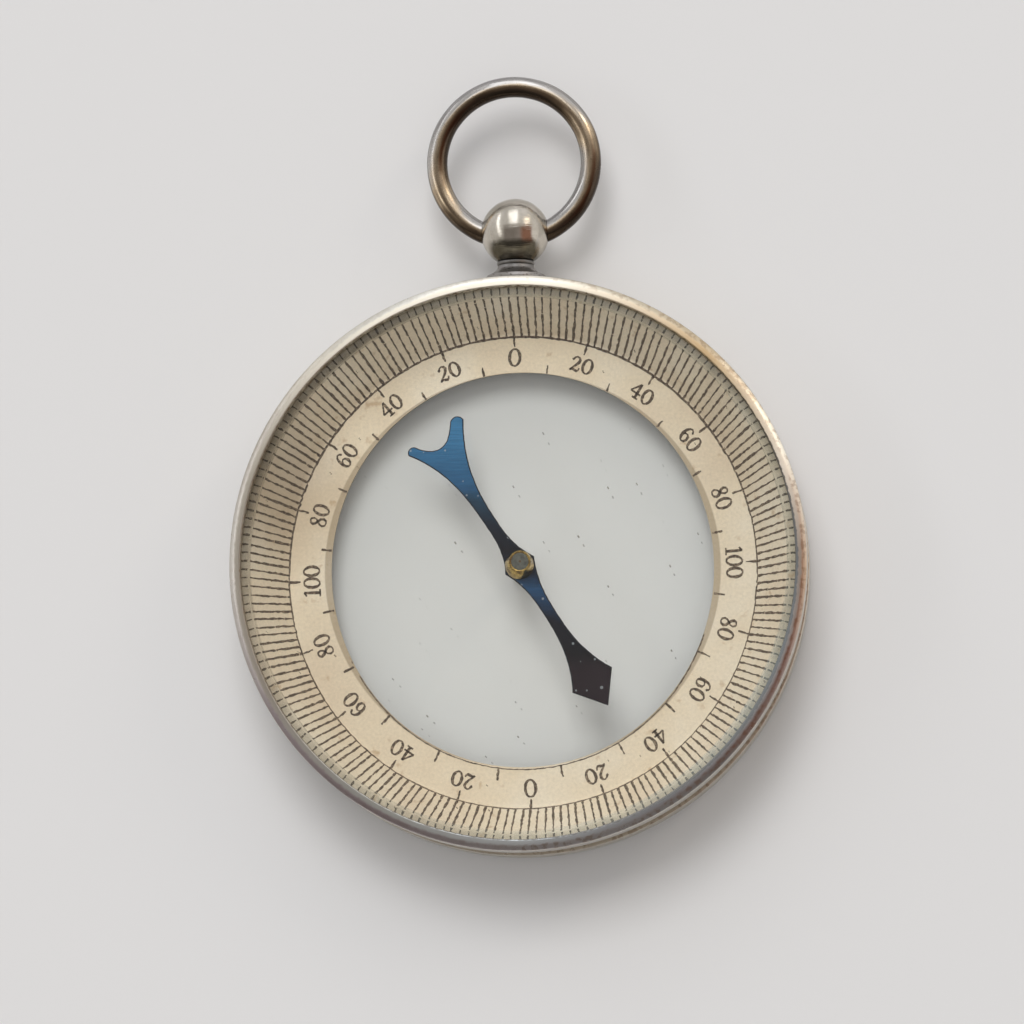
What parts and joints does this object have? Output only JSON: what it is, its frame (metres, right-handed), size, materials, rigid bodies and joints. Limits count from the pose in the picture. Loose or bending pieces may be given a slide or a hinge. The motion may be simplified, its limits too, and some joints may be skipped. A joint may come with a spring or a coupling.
{
  "type": "pendant compass",
  "caption": "Round pocket compass with a glass front and back, a dished paper dial, a forked needle on a pivot, and a ball pendant with a swinging bail.",
  "frame": {"origin": "on the needle's axis, in the plane that the rear bezel rests on", "axes": "+Z out of the dial through the front glass, +Y from the needle's axis to the pendant ball, +X to the right as the dial is read"},
  "size_m": [0.032, 0.0437, 0.006],
  "materials": {
    "nickel_case": "nickel-plated brass, worn satin",
    "nickel_bezel": "nickel-plated brass, polished, plating worn through on the crest",
    "nickel_ball": "nickel-plated brass, mirror polished, spotted",
    "tarnished_bail": "nickel-plated brass wire, tarnished",
    "glass": "clear flat glass with a ground bevel",
    "dish_metal": "pressed sheet, dull",
    "dial_paper": "printed paper, foxed",
    "turned_brass": "turned, dull",
    "cap_brass": "turned, polished",
    "pivot_steel": "hardened, ground to a point",
    "blued_steel": "blued by heat, satin",
    "jewel": "polished grey agate"
  },
  "bodies": {
    "case": {"case_band": "nickel_case", "front_bezel": "nickel_bezel", "rear_bezel": "nickel_bezel", "front_glass": "glass", "rear_glass": "glass", "dial_plate": "dish_metal", "dial_card": "dial_paper", "pivot_stud": "turned_brass", "pivot_washer": "turned_brass", "pivot_pin": "pivot_steel", "pendant_foot": "nickel_case", "pendant_stem": "turned_brass", "pendant_ball": "nickel_ball"},
    "needle": {"needle_blade": "blued_steel", "needle_cap": "cap_brass", "cap_jewel": "jewel"},
    "bail": {"bail": "tarnished_bail"}
  },
  "joints": [
    {"name": "needle_turn", "type": "hinge", "parent": "case", "child": "needle", "pos_m": [0, 0, 0.00422], "axis": [0, 0, 1], "continuous": true},
    {"name": "bail_swing", "type": "hinge", "parent": "case", "child": "bail", "pos_m": [0, 0.01886, 0.003], "axis": [1, 0, 0], "range_deg": [-131, 131]}
  ]
}
